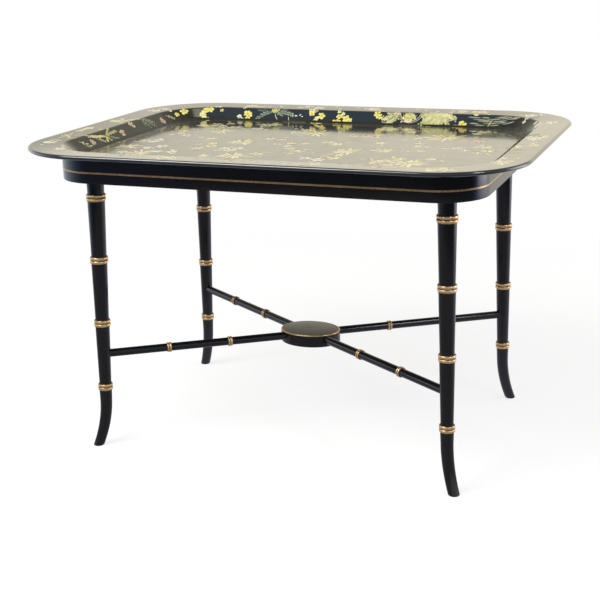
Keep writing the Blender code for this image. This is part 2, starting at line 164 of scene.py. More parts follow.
class Nodes:
    """A short way to write the nodes of a material or of the world."""

    def __init__(self, owner):
        owner.use_nodes = True
        self.owner = owner
        self.tree = owner.node_tree
        self.shader = self.tree.nodes.get("Principled BSDF")

    def add(self, kind, settings=None, **inputs):
        node = self.tree.nodes.new("ShaderNode" + kind)
        for key, value in (settings or {}).items():
            setattr(node, key, value)
        for key, value in inputs.items():
            self.feed(node.inputs[key.replace("_", " ")], value)
        return node

    def feed(self, socket, value):
        if isinstance(value, bpy.types.NodeSocket):
            self.tree.links.new(value, socket)
        else:
            socket.default_value = (*value, 1) if socket.type == "RGBA" else value

    def set(self, **inputs):
        for key, value in inputs.items():
            self.feed(self.shader.inputs[key.replace("_", " ")], value)

    def join(self, kind, *values, **settings):
        """A node whose first inputs take the values in order."""
        node = self.add(kind, settings)
        for socket, value in zip(node.inputs, values):
            self.feed(socket, value)
        return node.outputs[0]

    def mix_shaders(self, share, first, second):
        return self.join("MixShader", share, first, second)

    def noise(self, scale, detail=3.0, roughness=0.55, stretch=(1, 1, 1)):
        """A noise over the piece in metres, stretched by a scale."""
        place = self.add("TexCoord").outputs["Object"]
        vector = self.add("Mapping", Vector=place, Scale=stretch).outputs["Vector"]
        look = {"Scale": scale, "Detail": detail, "Roughness": roughness}
        return self.add("TexNoise", Vector=vector, **look).outputs["Fac"]

    def span(self, value, low, high, to_low=0, to_high=1):
        """A value's range from low to high, made to run from to_low to to_high."""
        node = self.add("MapRange", Value=value)
        for key, number in zip(("From Min", "From Max", "To Min", "To Max"), (low, high, to_low, to_high)):
            self.feed(node.inputs[key], number)
        return node.outputs["Result"]

    def blend(self, share, first, second, mode="MIX"):
        node = self.add("Mix", {"data_type": "RGBA", "blend_type": mode})
        for index, value in ((0, share), (6, first), (7, second)):
            self.feed(node.inputs[index], value)
        return node.outputs[2]

    def darken(self, colour, share):
        """A colour times a share that is the same for red, green and blue."""
        grey = self.add("CombineColor", Red=share, Green=share, Blue=share).outputs[0]
        return self.blend(1.0, colour, grey, "MULTIPLY")

    def bump(self, height, strength, distance):
        node = self.add("Bump", Height=height, Strength=strength, Distance=distance)
        self.set(Normal=node.outputs["Normal"])


def new_material(name):
    return Nodes(bpy.data.materials.new(name))


def varnish(n):
    """The clear coat over a material's own surface."""
    n.set(Coat_Weight=1.0, Coat_Roughness=VARNISH_ROUGHNESS, Coat_IOR=LACQUER_IOR)


def tray_lacquer():
    """Black lacquer on sheet steel under a varnish: deep gloss, slightly clouded by handling."""
    n = new_material("tray_black_lacquer")
    varnish(n)
    cloud = n.span(n.noise(9, 4), 0.35, 0.7)
    n.set(Base_Color=n.blend(cloud, (0.0055, 0.0062, 0.0095), (0.011, 0.0095, 0.0085)), IOR=LACQUER_IOR)
    rubbed = n.noise(34, 6, 0.65)
    n.set(Roughness=n.span(rubbed, 0.3, 0.75, 0.12, 0.22))
    n.bump(n.noise(55, 2), 0.04, 0.0006)
    return n.owner


def brushed_paint(name, roughness):
    """Oil colour under the varnish. Each stroke's colours are stored on its points."""
    n = new_material(name)
    varnish(n)
    pigment = n.add("Attribute", {"attribute_name": "pigment"}).outputs["Color"]
    bristles = n.noise(900, 3, 0.6, (1, 1.6, 1))
    patchy = n.noise(160, 4, 0.6)
    streaks = n.darken(pigment, n.span(bristles, 0.25, 0.75, 0.8, 1.12))
    n.set(Base_Color=n.darken(streaks, n.span(patchy, 0.3, 0.7, 0.88, 1.06)), IOR=LACQUER_IOR)
    n.set(Roughness=n.span(patchy, 0.3, 0.7, roughness, roughness + 0.08))
    n.bump(bristles, 0.06, 0.0002)
    return n.owner


def ebonised(name, stretch):
    """Wood stained and lacquered black, with a faint grain and a softer shine than the tray."""
    n = new_material(name)
    grain = n.noise(60, 5, 0.6, stretch)
    rubbed = n.noise(25, 4, 0.6)
    colour = n.blend(n.span(grain, 0.4, 0.75), (0.003, 0.0032, 0.004), (0.0062, 0.0054, 0.005))
    n.set(Base_Color=colour, Roughness=n.span(rubbed, 0.3, 0.7, 0.12, 0.19), IOR=LACQUER_IOR)
    n.bump(grain, 0.04, 0.0003)
    return n.owner


def gilt(name):
    """Antique gilding, brown where the gold has worn, with painted light and shade: bright on the beads'
    crowns, painted brown shade toward their edges and in the groove.
    """
    n = new_material(name)
    painted_light_and_tone = n.add("Attribute", {"attribute_name": "painted_light_and_tone"}).outputs["Fac"]
    worn = n.noise(260, 3, 0.5)
    broad = n.noise(70, 3)
    # painted light and shade: bright on bead crowns, brown toward bead edges and in the groove; a set tone on
    # the apron line and boss
    shade = n.join("Math", worn, 0.12, painted_light_and_tone, operation="MULTIPLY_ADD")
    share = n.span(shade, 0.42, 0.98)
    gold = n.blend(n.span(broad, 0.35, 0.65), srgb(214, 172, 118), srgb(234, 200, 150))
    n.set(Base_Color=n.blend(share, srgb(90, 60, 34), gold), Metallic=n.span(share, 0, 1, 0.45, 0.85))
    n.set(Roughness=n.span(worn, 0.3, 0.7, 0.25, 0.35))
    n.bump(worn, 0.04, 0.0002)
    return n.owner


def bare_wood(name, stretch):
    """Plain pale hardwood with grain along the piece."""
    n = new_material(name)
    rings = n.noise(42, 4, 0.55, stretch)
    fibres = n.noise(300, 3, 0.6, stretch)
    tone = n.blend(n.span(rings, 0.35, 0.65), srgb(176, 138, 94), srgb(140, 100, 62))
    fine = n.blend(n.span(fibres, 0.45, 0.75, 0, 0.5), tone, srgb(104, 70, 40))
    n.set(Base_Color=fine, Roughness=n.span(fibres, 0.3, 0.7, 0.5, 0.68))
    n.bump(fibres, 0.25, 0.0003)
    return n.owner


def steel(name):
    """Plain bright steel, a little dulled."""
    n = new_material(name)
    dull = n.noise(900, 4, 0.6)
    n.set(Base_Color=n.blend(dull, (0.5, 0.5, 0.51), (0.3, 0.29, 0.28)), Metallic=1.0)
    n.set(Roughness=n.span(dull, 0.3, 0.7, 0.28, 0.48))
    n.bump(dull, 0.1, 0.0001)
    return n.owner


TRAY_LACQUER = tray_lacquer()
LEAF_PAINT = brushed_paint("leaf_colours", 0.12)
BLOSSOM_PAINT = brushed_paint("blossom_colours", 0.14)
UPRIGHT_LACQUER = ebonised("ebonised_uprights", (3, 3, 0.25))
FLAT_LACQUER = ebonised("ebonised_apron", (0.4, 0.4, 2.5))
GILT = gilt("antique_gilt")
WOOD_ALONG_X = bare_wood("bare_wood_along_x", (0.12, 1, 1))
WOOD_ALONG_Y = bare_wood("bare_wood_along_y", (1, 0.12, 1))
STEEL = steel("dulled_steel")


# Making pieces

SHARP_ANGLE = radians(35)
ON_STAND = ("stand", "stand_lacquer")  # body and slot
ON_TRAY = ("tray", "tray_lacquer")


def add_object(name, data):
    thing = bpy.data.objects.new(name, data)
    bpy.context.scene.collection.objects.link(thing)
    return thing


def add_piece(mesh, materials, body, slot):
    """An object with the mesh's own name, which rides on a body."""
    piece = add_object(mesh.name, mesh)
    for material in materials:
        mesh.materials.append(material)
    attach(piece, body)
    return piece


def mesh_of(name, bm):
    """A mesh with smooth shading between its sharp edges."""
    mesh = bpy.data.meshes.new(name)
    bm.to_mesh(mesh)
    bm.free()
    mesh.shade_smooth()
    mesh.set_sharp_from_angle(angle=SHARP_ANGLE)
    return mesh


def arc(centre, radius, start, end, segments):
    angles = [start + (end - start) * i / segments for i in range(segments + 1)]
    return [(centre[0] + radius * cos(a), centre[1] + radius * sin(a)) for a in angles]


def rounded_rectangle(half_x, half_y, radius):
    points = []
    for quarter, (sx, sy) in enumerate(((1, 1), (-1, 1), (-1, -1), (1, -1))):
        start = quarter * pi / 2
        centre = (sx * (half_x - radius), sy * (half_y - radius))
        points += arc(centre, radius, start, start + pi / 2, CORNER_SEGMENTS)
    return points


def loft(rings, close_last=False, around=False):
    """A skin over rings of points, with the last ring filled, or the last joined back to the first."""
    bm = bmesh.new()
    loops = [[bm.verts.new(point) for point in ring] for ring in rings]
    pairs = list(zip(loops, loops[1:]))
    if around:
        pairs.append((loops[-1], loops[0]))
    for outer, inner in pairs:
        for i in range(len(outer)):
            j = (i + 1) % len(outer)
            bm.faces.new((outer[i], outer[j], inner[j], inner[i]))
    if close_last:
        bm.faces.new(loops[-1])
    return bm


# Tray

def corner_radius(inset):
    """The tray's corner radius this far in from its edge, where it shrinks more slowly past the roll."""
    roll = 2 * EDGE_RADIUS
    return TRAY_CORNER_RADIUS - np.minimum(inset, roll) - CORNER_TIGHTENING * np.maximum(inset - roll, 0)


def tray_ring(inset, height):
    outline = rounded_rectangle(HALF_LENGTH - inset, HALF_WIDTH - inset, float(corner_radius(inset)))
    return [(x, y, height) for x, y in outline]


RIM_SLOPE = atan2(RIM_FALL, RIM_WIDTH - EDGE_RADIUS)
WALL_SLOPE = atan2(WELL_DEPTH - RIM_FALL, WALL_RUN)
RIM_TANGENT = RIM_FILLET * tan((WALL_SLOPE - RIM_SLOPE) / 2)
RIM_END = RIM_WIDTH - RIM_TANGENT * cos(RIM_SLOPE)
RIM_CENTRE = RIM_END - RIM_FILLET * sin(RIM_SLOPE)
RIM_CENTRE_HEIGHT = (
    TABLE_HEIGHT - RIM_FALL + RIM_TANGENT * sin(RIM_SLOPE) - RIM_FILLET * cos(RIM_SLOPE)
)
FLOOR_CENTRE = RIM_WIDTH + WALL_RUN + FLOOR_FILLET * tan(WALL_SLOPE / 2)
WALL_START = RIM_CENTRE + RIM_FILLET * sin(WALL_SLOPE)
WALL_END = FLOOR_CENTRE - FLOOR_FILLET * sin(WALL_SLOPE)


def edge_section():
    centre = (EDGE_RADIUS, TABLE_HEIGHT - EDGE_RADIUS)
    return arc(centre, EDGE_RADIUS, 2 * pi + EDGE_CURL_END, pi / 2, EDGE_SEGMENTS)


def well_section():
    up = pi / 2
    rim_centre = (RIM_CENTRE, RIM_CENTRE_HEIGHT)
    floor_centre = (FLOOR_CENTRE, FLOOR_TOP + FLOOR_FILLET)
    rim = arc(rim_centre, RIM_FILLET, up - RIM_SLOPE, up - WALL_SLOPE, FILLET_SEGMENTS)
    return rim + arc(floor_centre, FLOOR_FILLET, -up - WALL_SLOPE, -up, FILLET_SEGMENTS)


def make_tray():
    """The sheet, with one ring more beside the rolled edge, which keeps the rim's shading flat."""
    beside_edge = (2 * EDGE_RADIUS, TABLE_HEIGHT - EDGE_RADIUS * tan(RIM_SLOPE))
    section = edge_section() + [beside_edge] + well_section()
    rings = [tray_ring(inset, height) for inset, height in section]
    mesh = mesh_of("tray_body", loft(rings, close_last=True))
    tray = add_piece(mesh, [TRAY_LACQUER], *ON_TRAY)
    shell = tray.modifiers.new("sheet", "SOLIDIFY")
    shell.thickness = SHEET
    shell.offset = -1
    shell.use_even_offset = True
    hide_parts("tray")


# The tray's painted face, as a surface that strokes are laid on

SECTION_POINTS = 6001
HALVINGS = 36
PROBE = 0.0002
PAINT_MARGIN = 2 * EDGE_RADIUS + 0.0065  # keeps the paint below the top of the rolled edge
TINY = 1e-12


def inset_at(x, y):
    """How far in from the tray's edge each point lies, counted as the rings of the tray are."""
    low, high = np.zeros_like(x), np.full_like(x, HALF_WIDTH)
    for _ in range(HALVINGS):
        inset = (low + high) / 2
        radius = np.maximum(corner_radius(inset), 0)
        past_x = np.abs(x) - (HALF_LENGTH - inset - radius)
        past_y = np.abs(y) - (HALF_WIDTH - inset - radius)
        reach = np.hypot(np.maximum(past_x, 0), np.maximum(past_y, 0))
        inside = reach + np.minimum(np.maximum(past_x, past_y), 0) < radius
        low, high = np.where(inside, inset, low), np.where(inside, high, inset)
    return (low + high) / 2


def face_height(inset):
    rim = TABLE_HEIGHT - np.maximum(inset - EDGE_RADIUS, 0) * tan(RIM_SLOPE)
    turn = RIM_CENTRE_HEIGHT + np.sqrt(np.maximum(RIM_FILLET**2 - (inset - RIM_CENTRE) ** 2, 0))
    wall = TABLE_HEIGHT - RIM_FALL - (inset - RIM_WIDTH) * tan(WALL_SLOPE)
    hollow = np.sqrt(np.maximum(FLOOR_FILLET**2 - (FLOOR_CENTRE - inset) ** 2, 0))
    floor = FLOOR_TOP + FLOOR_FILLET - hollow
    zones = [inset < RIM_END, inset < WALL_START, inset < WALL_END, inset < FLOOR_CENTRE]
    return np.select(zones, [rim, turn, wall, floor], FLOOR_TOP)


SECTION = np.linspace(0, HALF_WIDTH, SECTION_POINTS)
UNROLLED = np.concatenate(([0], np.cumsum(np.hypot(np.diff(SECTION), np.diff(face_height(SECTION))))))


def height_at(x, y):
    return face_height(inset_at(x, y))


def slope_at(x, y, height):
    """The face's upward normal at each point."""
    fall_x, fall_y = height - height_at(x + PROBE, y), height - height_at(x, y + PROBE)
    normal = np.stack((fall_x, fall_y, np.full_like(x, PROBE)), -1)
    return normal / np.linalg.norm(normal, axis=1, keepdims=True)


def inward_at(x, y):
    """The direction away from the tray's edge at each point."""
    here = inset_at(x, y)
    way = np.stack((inset_at(x + PROBE, y) - here, inset_at(x, y + PROBE) - here), -1)
    return way / np.maximum(np.linalg.norm(way, axis=1, keepdims=True), TINY)


def laid_on_tray(anchors, offsets, relief):
    """Points of the painting: each is an offset from its motif's anchor, measured along the bent sheet."""
    inward = inward_at(anchors[:, 0], anchors[:, 1])
    aside = np.stack((-inward[:, 1], inward[:, 0]), -1)
    start = inset_at(anchors[:, 0], anchors[:, 1])
    deeper = np.interp(start, SECTION, UNROLLED) + np.sum(offsets * inward, axis=1)
    deeper = np.maximum(deeper, PAINT_MARGIN)
    step = np.interp(deeper, UNROLLED, SECTION) - start
    sideways = np.sum(offsets * aside, axis=1)
    flat = anchors + sideways[:, None] * aside + step[:, None] * inward
    x, y = flat[:, 0], flat[:, 1]
    height = height_at(x, y)
    return np.column_stack((x, y, height)) + slope_at(x, y, height) * relief[:, None]


# Painting: its plan is in millimetres, its relief and the stations along strokes in metres

MILLIMETRES = 1000  # in a metre
PAINT_RELIEF = 0.0001
LAYER_RELIEF = 0.00005
STROKE_STEP = 0.000006  # keeps strokes that cross from sharing one level
STROKE_LEVELS = 7
STATION_LENGTH = 0.0024
LEAST_STATIONS = 5
BROAD_STROKE = 3  # wider strokes get more points across
WAVE_START, WAVE_END = 0.02, 0.985  # the part of a half wave that gives a stroke its width
LEAST_WAVE = 0.03
STRAIGHT = 1e-6
ROOT_COLOUR_FADE = 2.4
TIP_COLOUR_START = 0.55
SIDE_TINT = 0.3
LINE_WIDTH = 1.2
BARB_PITCH = 5.6
BARB_WIDTH = 2.2
LEAST_BARBS = 4
SCALLOP_SIZE = 4
RIB_WIDTH = 1.8
BLOSSOM_PETALS = 5
STAR_PETALS = 11
STAR_DOTS = 5
LOOSE_LEAVES = 6
POSY_BLOSSOM = 18.5
BUD_TOP = (2, 10)
MIDDLE = (0, 0)

# Shapes of strokes: belly above 1 moves the widest place toward the tip, blunt below 1 rounds the ends
TOUCH = {"blunt": 0.45}
BRUSH_LINE = {"belly": 0.5, "blunt": 0.3}
BROAD_PETAL = {"belly": 1.9, "blunt": 0.48}
SLIM_PETAL = {"belly": 0.8, "blunt": 0.7}
BUD_PETAL = {"belly": 1.3, "blunt": 0.6}
PLUME_BODY = {"belly": 0.85, "blunt": 0.75}
BARB = {"belly": 1.6, "blunt": 0.5}
BROAD_LEAF = {"belly": 1.2, "blunt": 0.6}
LEAFLET = {"belly": 0.8, "blunt": 0.8}
STREAK = {"blunt": 0.6}

# Paints, each as the colours of a stroke's root, body and tip
CREAM = (srgb(206, 194, 140), srgb(242, 234, 192), srgb(254, 250, 230))
YELLOW = (srgb(206, 178, 44), srgb(248, 234, 84), srgb(255, 250, 176))
LEMON = (srgb(214, 198, 92), srgb(246, 238, 150), srgb(254, 250, 212))
ORANGE = (srgb(128, 92, 30), srgb(200, 160, 72), srgb(240, 214, 140))
ROSE_GOLD = (srgb(142, 92, 52), srgb(216, 172, 122), srgb(252, 238, 212))
OLIVE = (srgb(104, 116, 48), srgb(174, 186, 94), srgb(236, 238, 172))
SAGE = (srgb(52, 66, 44), srgb(112, 130, 90), srgb(212, 220, 180))
GOLD_LEAF = (srgb(132, 130, 54), srgb(212, 208, 112), srgb(248, 244, 178))
FAN_LEAF = (srgb(246, 240, 176), srgb(222, 220, 130), srgb(150, 160, 78))
SHADOW_LEAF = (srgb(30, 40, 24), srgb(56, 70, 42), srgb(92, 108, 66))
DULL_OLIVE = (srgb(80, 84, 54), srgb(136, 140, 98), srgb(176, 176, 136))
PEARL = (srgb(222, 212, 168), srgb(244, 236, 206), srgb(254, 250, 232))
STRAW = (srgb(214, 198, 124), srgb(240, 230, 168), srgb(254, 248, 212))
BLUSH = (srgb(206, 158, 120), srgb(244, 212, 176), srgb(252, 238, 214))


class Painting:
    """Brush strokes gathered into one mesh that lies on the tray."""

    def __init__(self):
        self.anchors, self.offsets, self.relief, self.pigment, self.faces = [], [], [], [], []
        self.strokes = 0

    def stroke(self, anchor, root, heading, length, width, paint, bend=0.0, belly=1.0, blunt=1.0, layer=0):
        """One stroke from its root to its tip, laid down round an anchor on the tray."""
        stations = max(LEAST_STATIONS, ceil(length / MILLIMETRES / STATION_LENGTH))
        across = 5 if width > BROAD_STROKE else 3
        first = len(self.anchors)
        level = PAINT_RELIEF + layer * LAYER_RELIEF + (self.strokes % STROKE_LEVELS) * STROKE_STEP
        self.strokes += 1
        for i in range(stations + 1):
            t = i / stations
            (x, y), angle = along(root, heading, length, bend, t)
            wave = sin(pi * min(t + WAVE_START, WAVE_END) ** belly)
            half = width / 2 * max(wave, LEAST_WAVE) ** blunt
            for j in range(across):
                side = 2 * j / (across - 1) - 1
                self.anchors.append(anchor)
                self.offsets.append((x - side * half * sin(angle), y + side * half * cos(angle)))
                self.relief.append(level)
                self.pigment.append(stroke_colour(paint, t, side))
        for i in range(stations):
            for j in range(across - 1):
                a = first + i * across + j
                self.faces.append((a, a + across, a + across + 1, a + 1))

    def finish(self, name, material):
        plan = np.array((self.anchors, self.offsets)) / MILLIMETRES
        points = laid_on_tray(*plan, np.array(self.relief))
        mesh = bpy.data.meshes.new(name)
        mesh.from_pydata(points.tolist(), [], self.faces)
        colours = mesh.attributes.new("pigment", "FLOAT_COLOR", "POINT")
        colours.data.foreach_set("color", np.column_stack((self.pigment, np.ones(len(points)))).ravel())
        mesh.update()
        if sum(face.normal.z for face in mesh.polygons) < 0:
            mesh.flip_normals()
        mesh.shade_smooth()
        piece = add_piece(mesh, [material], *ON_TRAY)
        film = piece.modifiers.new("paint_film", "SOLIDIFY")
        film.thickness = PAINT_RELIEF + LAYER_RELIEF
        film.offset = -1


def along(root, heading, length, bend, share):
    """The place that a bent stroke has reached after a share of its length, and its heading there."""
    turned = heading + bend * share
    if abs(bend) < STRAIGHT:
        run, rise = share * length * cos(heading), share * length * sin(heading)
    else:
        radius = length / bend
        run = radius * (sin(turned) - sin(heading))
        rise = radius * (cos(heading) - cos(turned))
    return (root[0] + run, root[1] + rise), turned


def mixed(first, second, share):
    return tuple(a + (b - a) * share for a, b in zip(first, second))


def stroke_colour(paint, t, side):
    """From the root's colour to the tip's, lighter on one side, as a double-loaded brush leaves it."""
    root, body, tip = paint
    if t < TIP_COLOUR_START:
        colour = mixed(root, body, min(t * ROOT_COLOUR_FADE, 1))
    else:
        colour = mixed(body, tip, (t - TIP_COLOUR_START) / (1 - TIP_COLOUR_START))
    return mixed(colour, tip if side > 0 else root, SIDE_TINT * abs(side))


chance = random.Random(41)


def wobble(value, share):
    return value * (1 + chance.uniform(-share, share))


def polar(radius, angle):
    return radius * cos(angle), radius * sin(angle)


def dab(painting, anchor, root, size, paint, layer=1):
    """One touch of a full brush."""
    heading = chance.uniform(0, tau)
    length, width = wobble(size, 0.25), wobble(0.72 * size, 0.2)
    painting.stroke(anchor, root, heading, length, width, paint, layer=layer, **TOUCH)


def dabs_along(painting, anchor, root, heading, length, bend, count, size):
    """A row of small pale touches."""
    for k in range(count):
        place, _ = along(root, heading, length, bend, (k + 0.5) / count)
        dab(painting, anchor, place, size, CREAM, layer=2)


def fine_line(painting, anchor, root, heading, length, bend, paint=CREAM, width=LINE_WIDTH):
    """A line drawn with the point of the brush."""
    painting.stroke(anchor, root, heading, length, width, paint, bend, layer=2, **BRUSH_LINE)


def headings(turn, count, stray):
    """Directions spread round a full turn, each a little off its even place."""
    for k in range(count):
        yield turn + tau * k / count + chance.uniform(-stray, stray)


def blossom(painting, x, y, size, paint=YELLOW):
    """A flower of broad unequal petals with gaps between them, and one pale touch."""
    turn = chance.uniform(0, tau)
    for heading in headings(turn, BLOSSOM_PETALS, 0.22):
        length, width = wobble(0.58 * size, 0.18), wobble(0.44 * size, 0.16)
        bend = chance.uniform(-0.3, 0.3)
        painting.stroke((x, y), MIDDLE, heading, length, width, paint, bend, **BROAD_PETAL)
    dab(painting, (x, y), polar(0.26 * size, turn + 0.3), 0.22 * size, CREAM, layer=2)


def star(painting, x, y, size):
    """A flower of slender pointed petals, unequal in length, about a bright middle."""
    turn = chance.uniform(0, tau)
    for heading in headings(turn, STAR_PETALS, 0.16):
        length, width = wobble(0.46 * size, 0.24), wobble(0.12 * size, 0.2)
        root, bend = polar(0.02 * size, heading), chance.uniform(-0.4, 0.4)
        painting.stroke((x, y), root, heading, length, width, STRAW, bend, **SLIM_PETAL)
    for k in range(STAR_DOTS):
        dab(painting, (x, y), polar(0.05 * size, turn + tau * k / STAR_DOTS), 0.1 * size, CREAM)


def plume(painting, anchor, heading, length, width, bend, paint):
    """A feathered leaf: a slim shaded body, and bent barbs with pale tips that run out past its edges."""
    shaded = (paint[0], mixed(paint[0], paint[1], 0.6), paint[1])
    painting.stroke(anchor, MIDDLE, heading, length, 0.42 * width, shaded, bend, **PLUME_BODY)
    barbs = max(LEAST_BARBS, round(length / BARB_PITCH))
    for k in range(barbs):
        share = 0.08 + 0.86 * k / (barbs - 1)
        place, way = along(MIDDLE, heading, length, bend, share)
        reach = 0.7 * width * sin(pi * (0.12 + 0.78 * share)) ** 0.6
        for side in (-1, 1):
            turned, barb = way + side * wobble(0.72, 0.2), wobble(reach, 0.25)
            painting.stroke(anchor, place, turned, barb, BARB_WIDTH, paint, -0.6 * side, layer=1, **BARB)


def lobe(painting, anchor, heading, length, width, bend, paint):
    """A broad leaf with a scalloped pale edge and a fine rib."""
    painting.stroke(anchor, MIDDLE, heading, length, 0.86 * width, paint, bend, **BROAD_LEAF)
    scallops = max(LEAST_BARBS, round(length / BARB_PITCH))
    for k in range(scallops):
        share = 0.3 + 0.68 * k / (scallops - 1)
        place, way = along(MIDDLE, heading, length, bend, share)
        reach = 0.46 * width * sin(pi * (0.06 + 0.88 * share) ** 1.2) ** 0.6
        for side in (-1, 1):
            edge = (place[0] - side * reach * sin(way), place[1] + side * reach * cos(way))
            dab(painting, anchor, edge, SCALLOP_SIZE, (paint[1], CREAM[0], CREAM[1]), layer=2)
    fine_line(painting, anchor, MIDDLE, heading, 0.85 * length, bend, width=RIB_WIDTH)


def spray(painting, x, y, leaves, leaf=plume):
    """Leaves from one point, each given as heading, length, width, bend and paint, with angles in degrees."""
    for heading, length, width, bend, paint in leaves:
        leaf(painting, (x, y), radians(heading), length, width, radians(bend), paint)


def loose_spray(painting, x, y, size, paint):
    """Feathered leaves spread all round, with fine tendrils and pale touches between them."""
    turn = chance.uniform(0, 360)
    leaves = []
    for k in range(LOOSE_LEAVES):
        heading = turn + 360 * k / LOOSE_LEAVES + chance.uniform(-14, 14)
        length = wobble(0.46 * size, 0.2)
        leaves.append((heading, length, wobble(0.27 * length, 0.2), chance.choice((-34, -18, 18, 34)), paint))
    spray(painting, x, y, leaves)
    for k in range(3):
        heading = radians(turn + 120 * k + 30)
        bend = chance.choice((-1.2, 1.2))
        fine_line(painting, (x, y), MIDDLE, heading, wobble(0.5 * size, 0.2), bend)
        start = polar(0.3 * size, heading + 0.2)
        dabs_along(painting, (x, y), start, heading, 0.2 * size, bend, 3, 2.6)


def bud(painting, x, y):
    """A half-open flower that hangs down the wall: pale petals inside rounded outlines."""
    top_x, top_y = BUD_TOP
    petal = (OLIVE[1], GOLD_LEAF[1], CREAM[1])
    for heading, length in ((-128, 19), (-104, 22), (-78, 22), (-52, 19)):
        painting.stroke((x, y), BUD_TOP, radians(heading), length, 8.5, petal, **BUD_PETAL)
    for share, paint in ((1.0, ROSE_GOLD), (0.86, CREAM), (0.62, ORANGE), (0.4, CREAM)):
        root = (top_x - 19.5 * share, top_y)
        fine_line(painting, (x, y), root, radians(-94), 62 * share, radians(168), paint, 1.6)
    for k in range(4):
        dab(painting, (x, y), (4 * k - 9, k % 2 - 9.5), 4.2, CREAM, layer=2)


def sprig(painting, x, y, size, turn):
    """A short bent stalk with small leaves in pairs."""
    bend = chance.uniform(-0.7, 0.7)
    fine_line(painting, (x, y), MIDDLE, turn, size, bend)
    for k in range(3):
        place, way = along(MIDDLE, turn, size, bend, 0.3 + 0.3 * k)
        for side in (-1, 1):
            heading, length, width = way + side * 0.8, wobble(0.3 * size, 0.2), wobble(0.1 * size, 0.2)
            painting.stroke((x, y), place, heading, length, width, GOLD_LEAF, -side * 0.4, **LEAFLET)


def posy(painting, x, y, count, paint=STRAW):
    """One to three blossoms close together, with a leaf and a few touches beside them."""
    size = POSY_BLOSSOM
    turn = chance.uniform(0, tau)
    for k in range(count):
        run, rise = polar(0 if count == 1 else 0.66 * size, turn + tau * k / count)
        blossom(painting, x + run, y + rise, wobble(size, 0.2), paint)
    for k in range(3):
        heading = turn + tau * (k + 0.5) / 3
        dab(painting, (x, y), polar(1.3 * size, heading), wobble(8, 0.3), paint)
    leaf = turn + chance.uniform(0.6, 1.6)
    length, bend = wobble(0.9 * size, 0.2), chance.uniform(-0.6, 0.6)
    painting.stroke((x, y), polar(0.75 * size, leaf), leaf, length, 0.3 * size, STRAW, bend, **SLIM_PETAL)


# Where the motifs lie, as x, y from the tray's middle, then size or count, and paint if not the usual one

FIRST_SPRAY = (-152.7, 243.5)
BUD = (100.1, 241.9)
LONE_STALK = (249.7, 236.3)
BACK_WALL_BLOSSOMS = (
    (-320.7, 209.1, 14.5), (-327.1, 192.3, 10), (-288.7, 233.9, 12.5), (-281.3, 238.5, 13.5),
    (-290.5, 224.3, 11.5, LEMON), (-281.5, 219, 15, LEMON), (-273.5, 250.5, 9.5, BLUSH),
    (-268, 252.5, 10, CREAM), (-259.1, 242.7, 6), (-220.5, 234.5, 8.5, CREAM), (-214.3, 229.9, 8, CREAM),
    (-206.2, 240, 13), (-202.5, 235, 11), (-82, 249, 11.5, CREAM), (-74.5, 247.5, 9.5, ORANGE),
    (-80, 243, 9.5), (-60.7, 239.5, 12.5), (-69, 235, 8.5, LEMON), (-72, 226.2, 12), (-62, 225.5, 11),
    (-29.5, 230.5, 12.5), (-26.2, 239.5, 10.5), (-28.7, 246.9, 7.5, LEMON), (-13, 236, 12.5),
    (-7, 233, 12), (-20.5, 243.5, 7, LEMON), (43, 244.5, 12), (48, 241, 10.5), (199, 234, 14),
    (194, 229, 10), (186, 227.5, 10, ORANGE), (197.5, 220, 13, ORANGE), (308.1, 219.5, 7.5, CREAM),
    (312, 225, 7, CREAM),
)
SIDE_WALL_BLOSSOMS = (
    (-333.5, 144.3, 12.5, ROSE_GOLD), (-340.7, 41.9, 12, ROSE_GOLD), (-334.3, -3.7, 12.5, ROSE_GOLD),
    (-334.3, -102.9, 9.5, ROSE_GOLD), (-265, -237, 14), (-110, -240, 15), (-93, -235, 12, LEMON),
    (60, -239, 15), (148, -238, 14, ROSE_GOLD), (265, -236, 15), (334, -150, 14), (335, -33, 15),
    (333, -15, 11, LEMON), (334, 105, 14, ROSE_GOLD),
)
FEATHERED_SPRAYS = (
    (*FIRST_SPRAY, (
        (172, 34, 9, 4, SHADOW_LEAF), (180, 36, 12.5, 56, SAGE), (4, 36, 13.5, -28, SAGE),
        (24, 24, 7, -20, SHADOW_LEAF), (-34, 18, 7, 16, SAGE))),
    (-345.5, 85.9, (
        (254, 60, 11, -6, LEMON), (50, 34, 8.5, -12, SAGE), (66, 33, 7.5, -10, SAGE),
        (9, 23, 7.5, 10, SAGE), (-19, 17, 6, 0, SAGE))),
    (-336.7, -55.7, (
        (263, 48, 9, -8, LEMON), (100, 40, 8, -10, GOLD_LEAF), (118, 30, 6.5, 0, GOLD_LEAF),
        (-35, 20, 7.5, 0, LEMON), (23, 24, 8.5, 8, GOLD_LEAF), (68, 64, 8.5, -8, SAGE))),
    (313, 227, (
        (30, 22, 6, 10, DULL_OLIVE), (-20, 20, 6, -10, DULL_OLIVE))),
)
LOBED_SPRAYS = (
    (85.7, 247.5, (
        (205, 36, 12.5, 4, OLIVE), (226, 37, 13.5, 4, OLIVE), (186, 26, 7.5, -8, SHADOW_LEAF))),
    (154.5, 253.1, (
        (196, 35, 12, 6, FAN_LEAF), (336, 37, 12, -8, FAN_LEAF), (222, 42, 15, 8, FAN_LEAF),
        (308, 34, 14, -4, FAN_LEAF), (248, 38, 15, 4, FAN_LEAF), (276, 34, 14, 0, FAN_LEAF))),
)
LOOSE_SPRAYS = (
    (-369, -121, 56, GOLD_LEAF), (-380, 20, 40, GOLD_LEAF), (-205, -245, 60, SAGE),
    (-20, -243, 60, GOLD_LEAF), (195, -243, 60, OLIVE), (342, -100, 60, GOLD_LEAF), (342, 40, 60, SAGE),
)
STARS = (
    (-114, 4, 66), (82, -41, 62), (205, -117, 68), (199, 119, 74), (-29, 119, 74), (-197, 103, 56),
    (-78, -119, 60), (136, -23, 44), (-237, -127, 60), (60, -175, 56), (279, 46, 46), (-283, -76, 46),
    (82, 188, 50), (-141, 190, 50), (355, -193, 44),
)
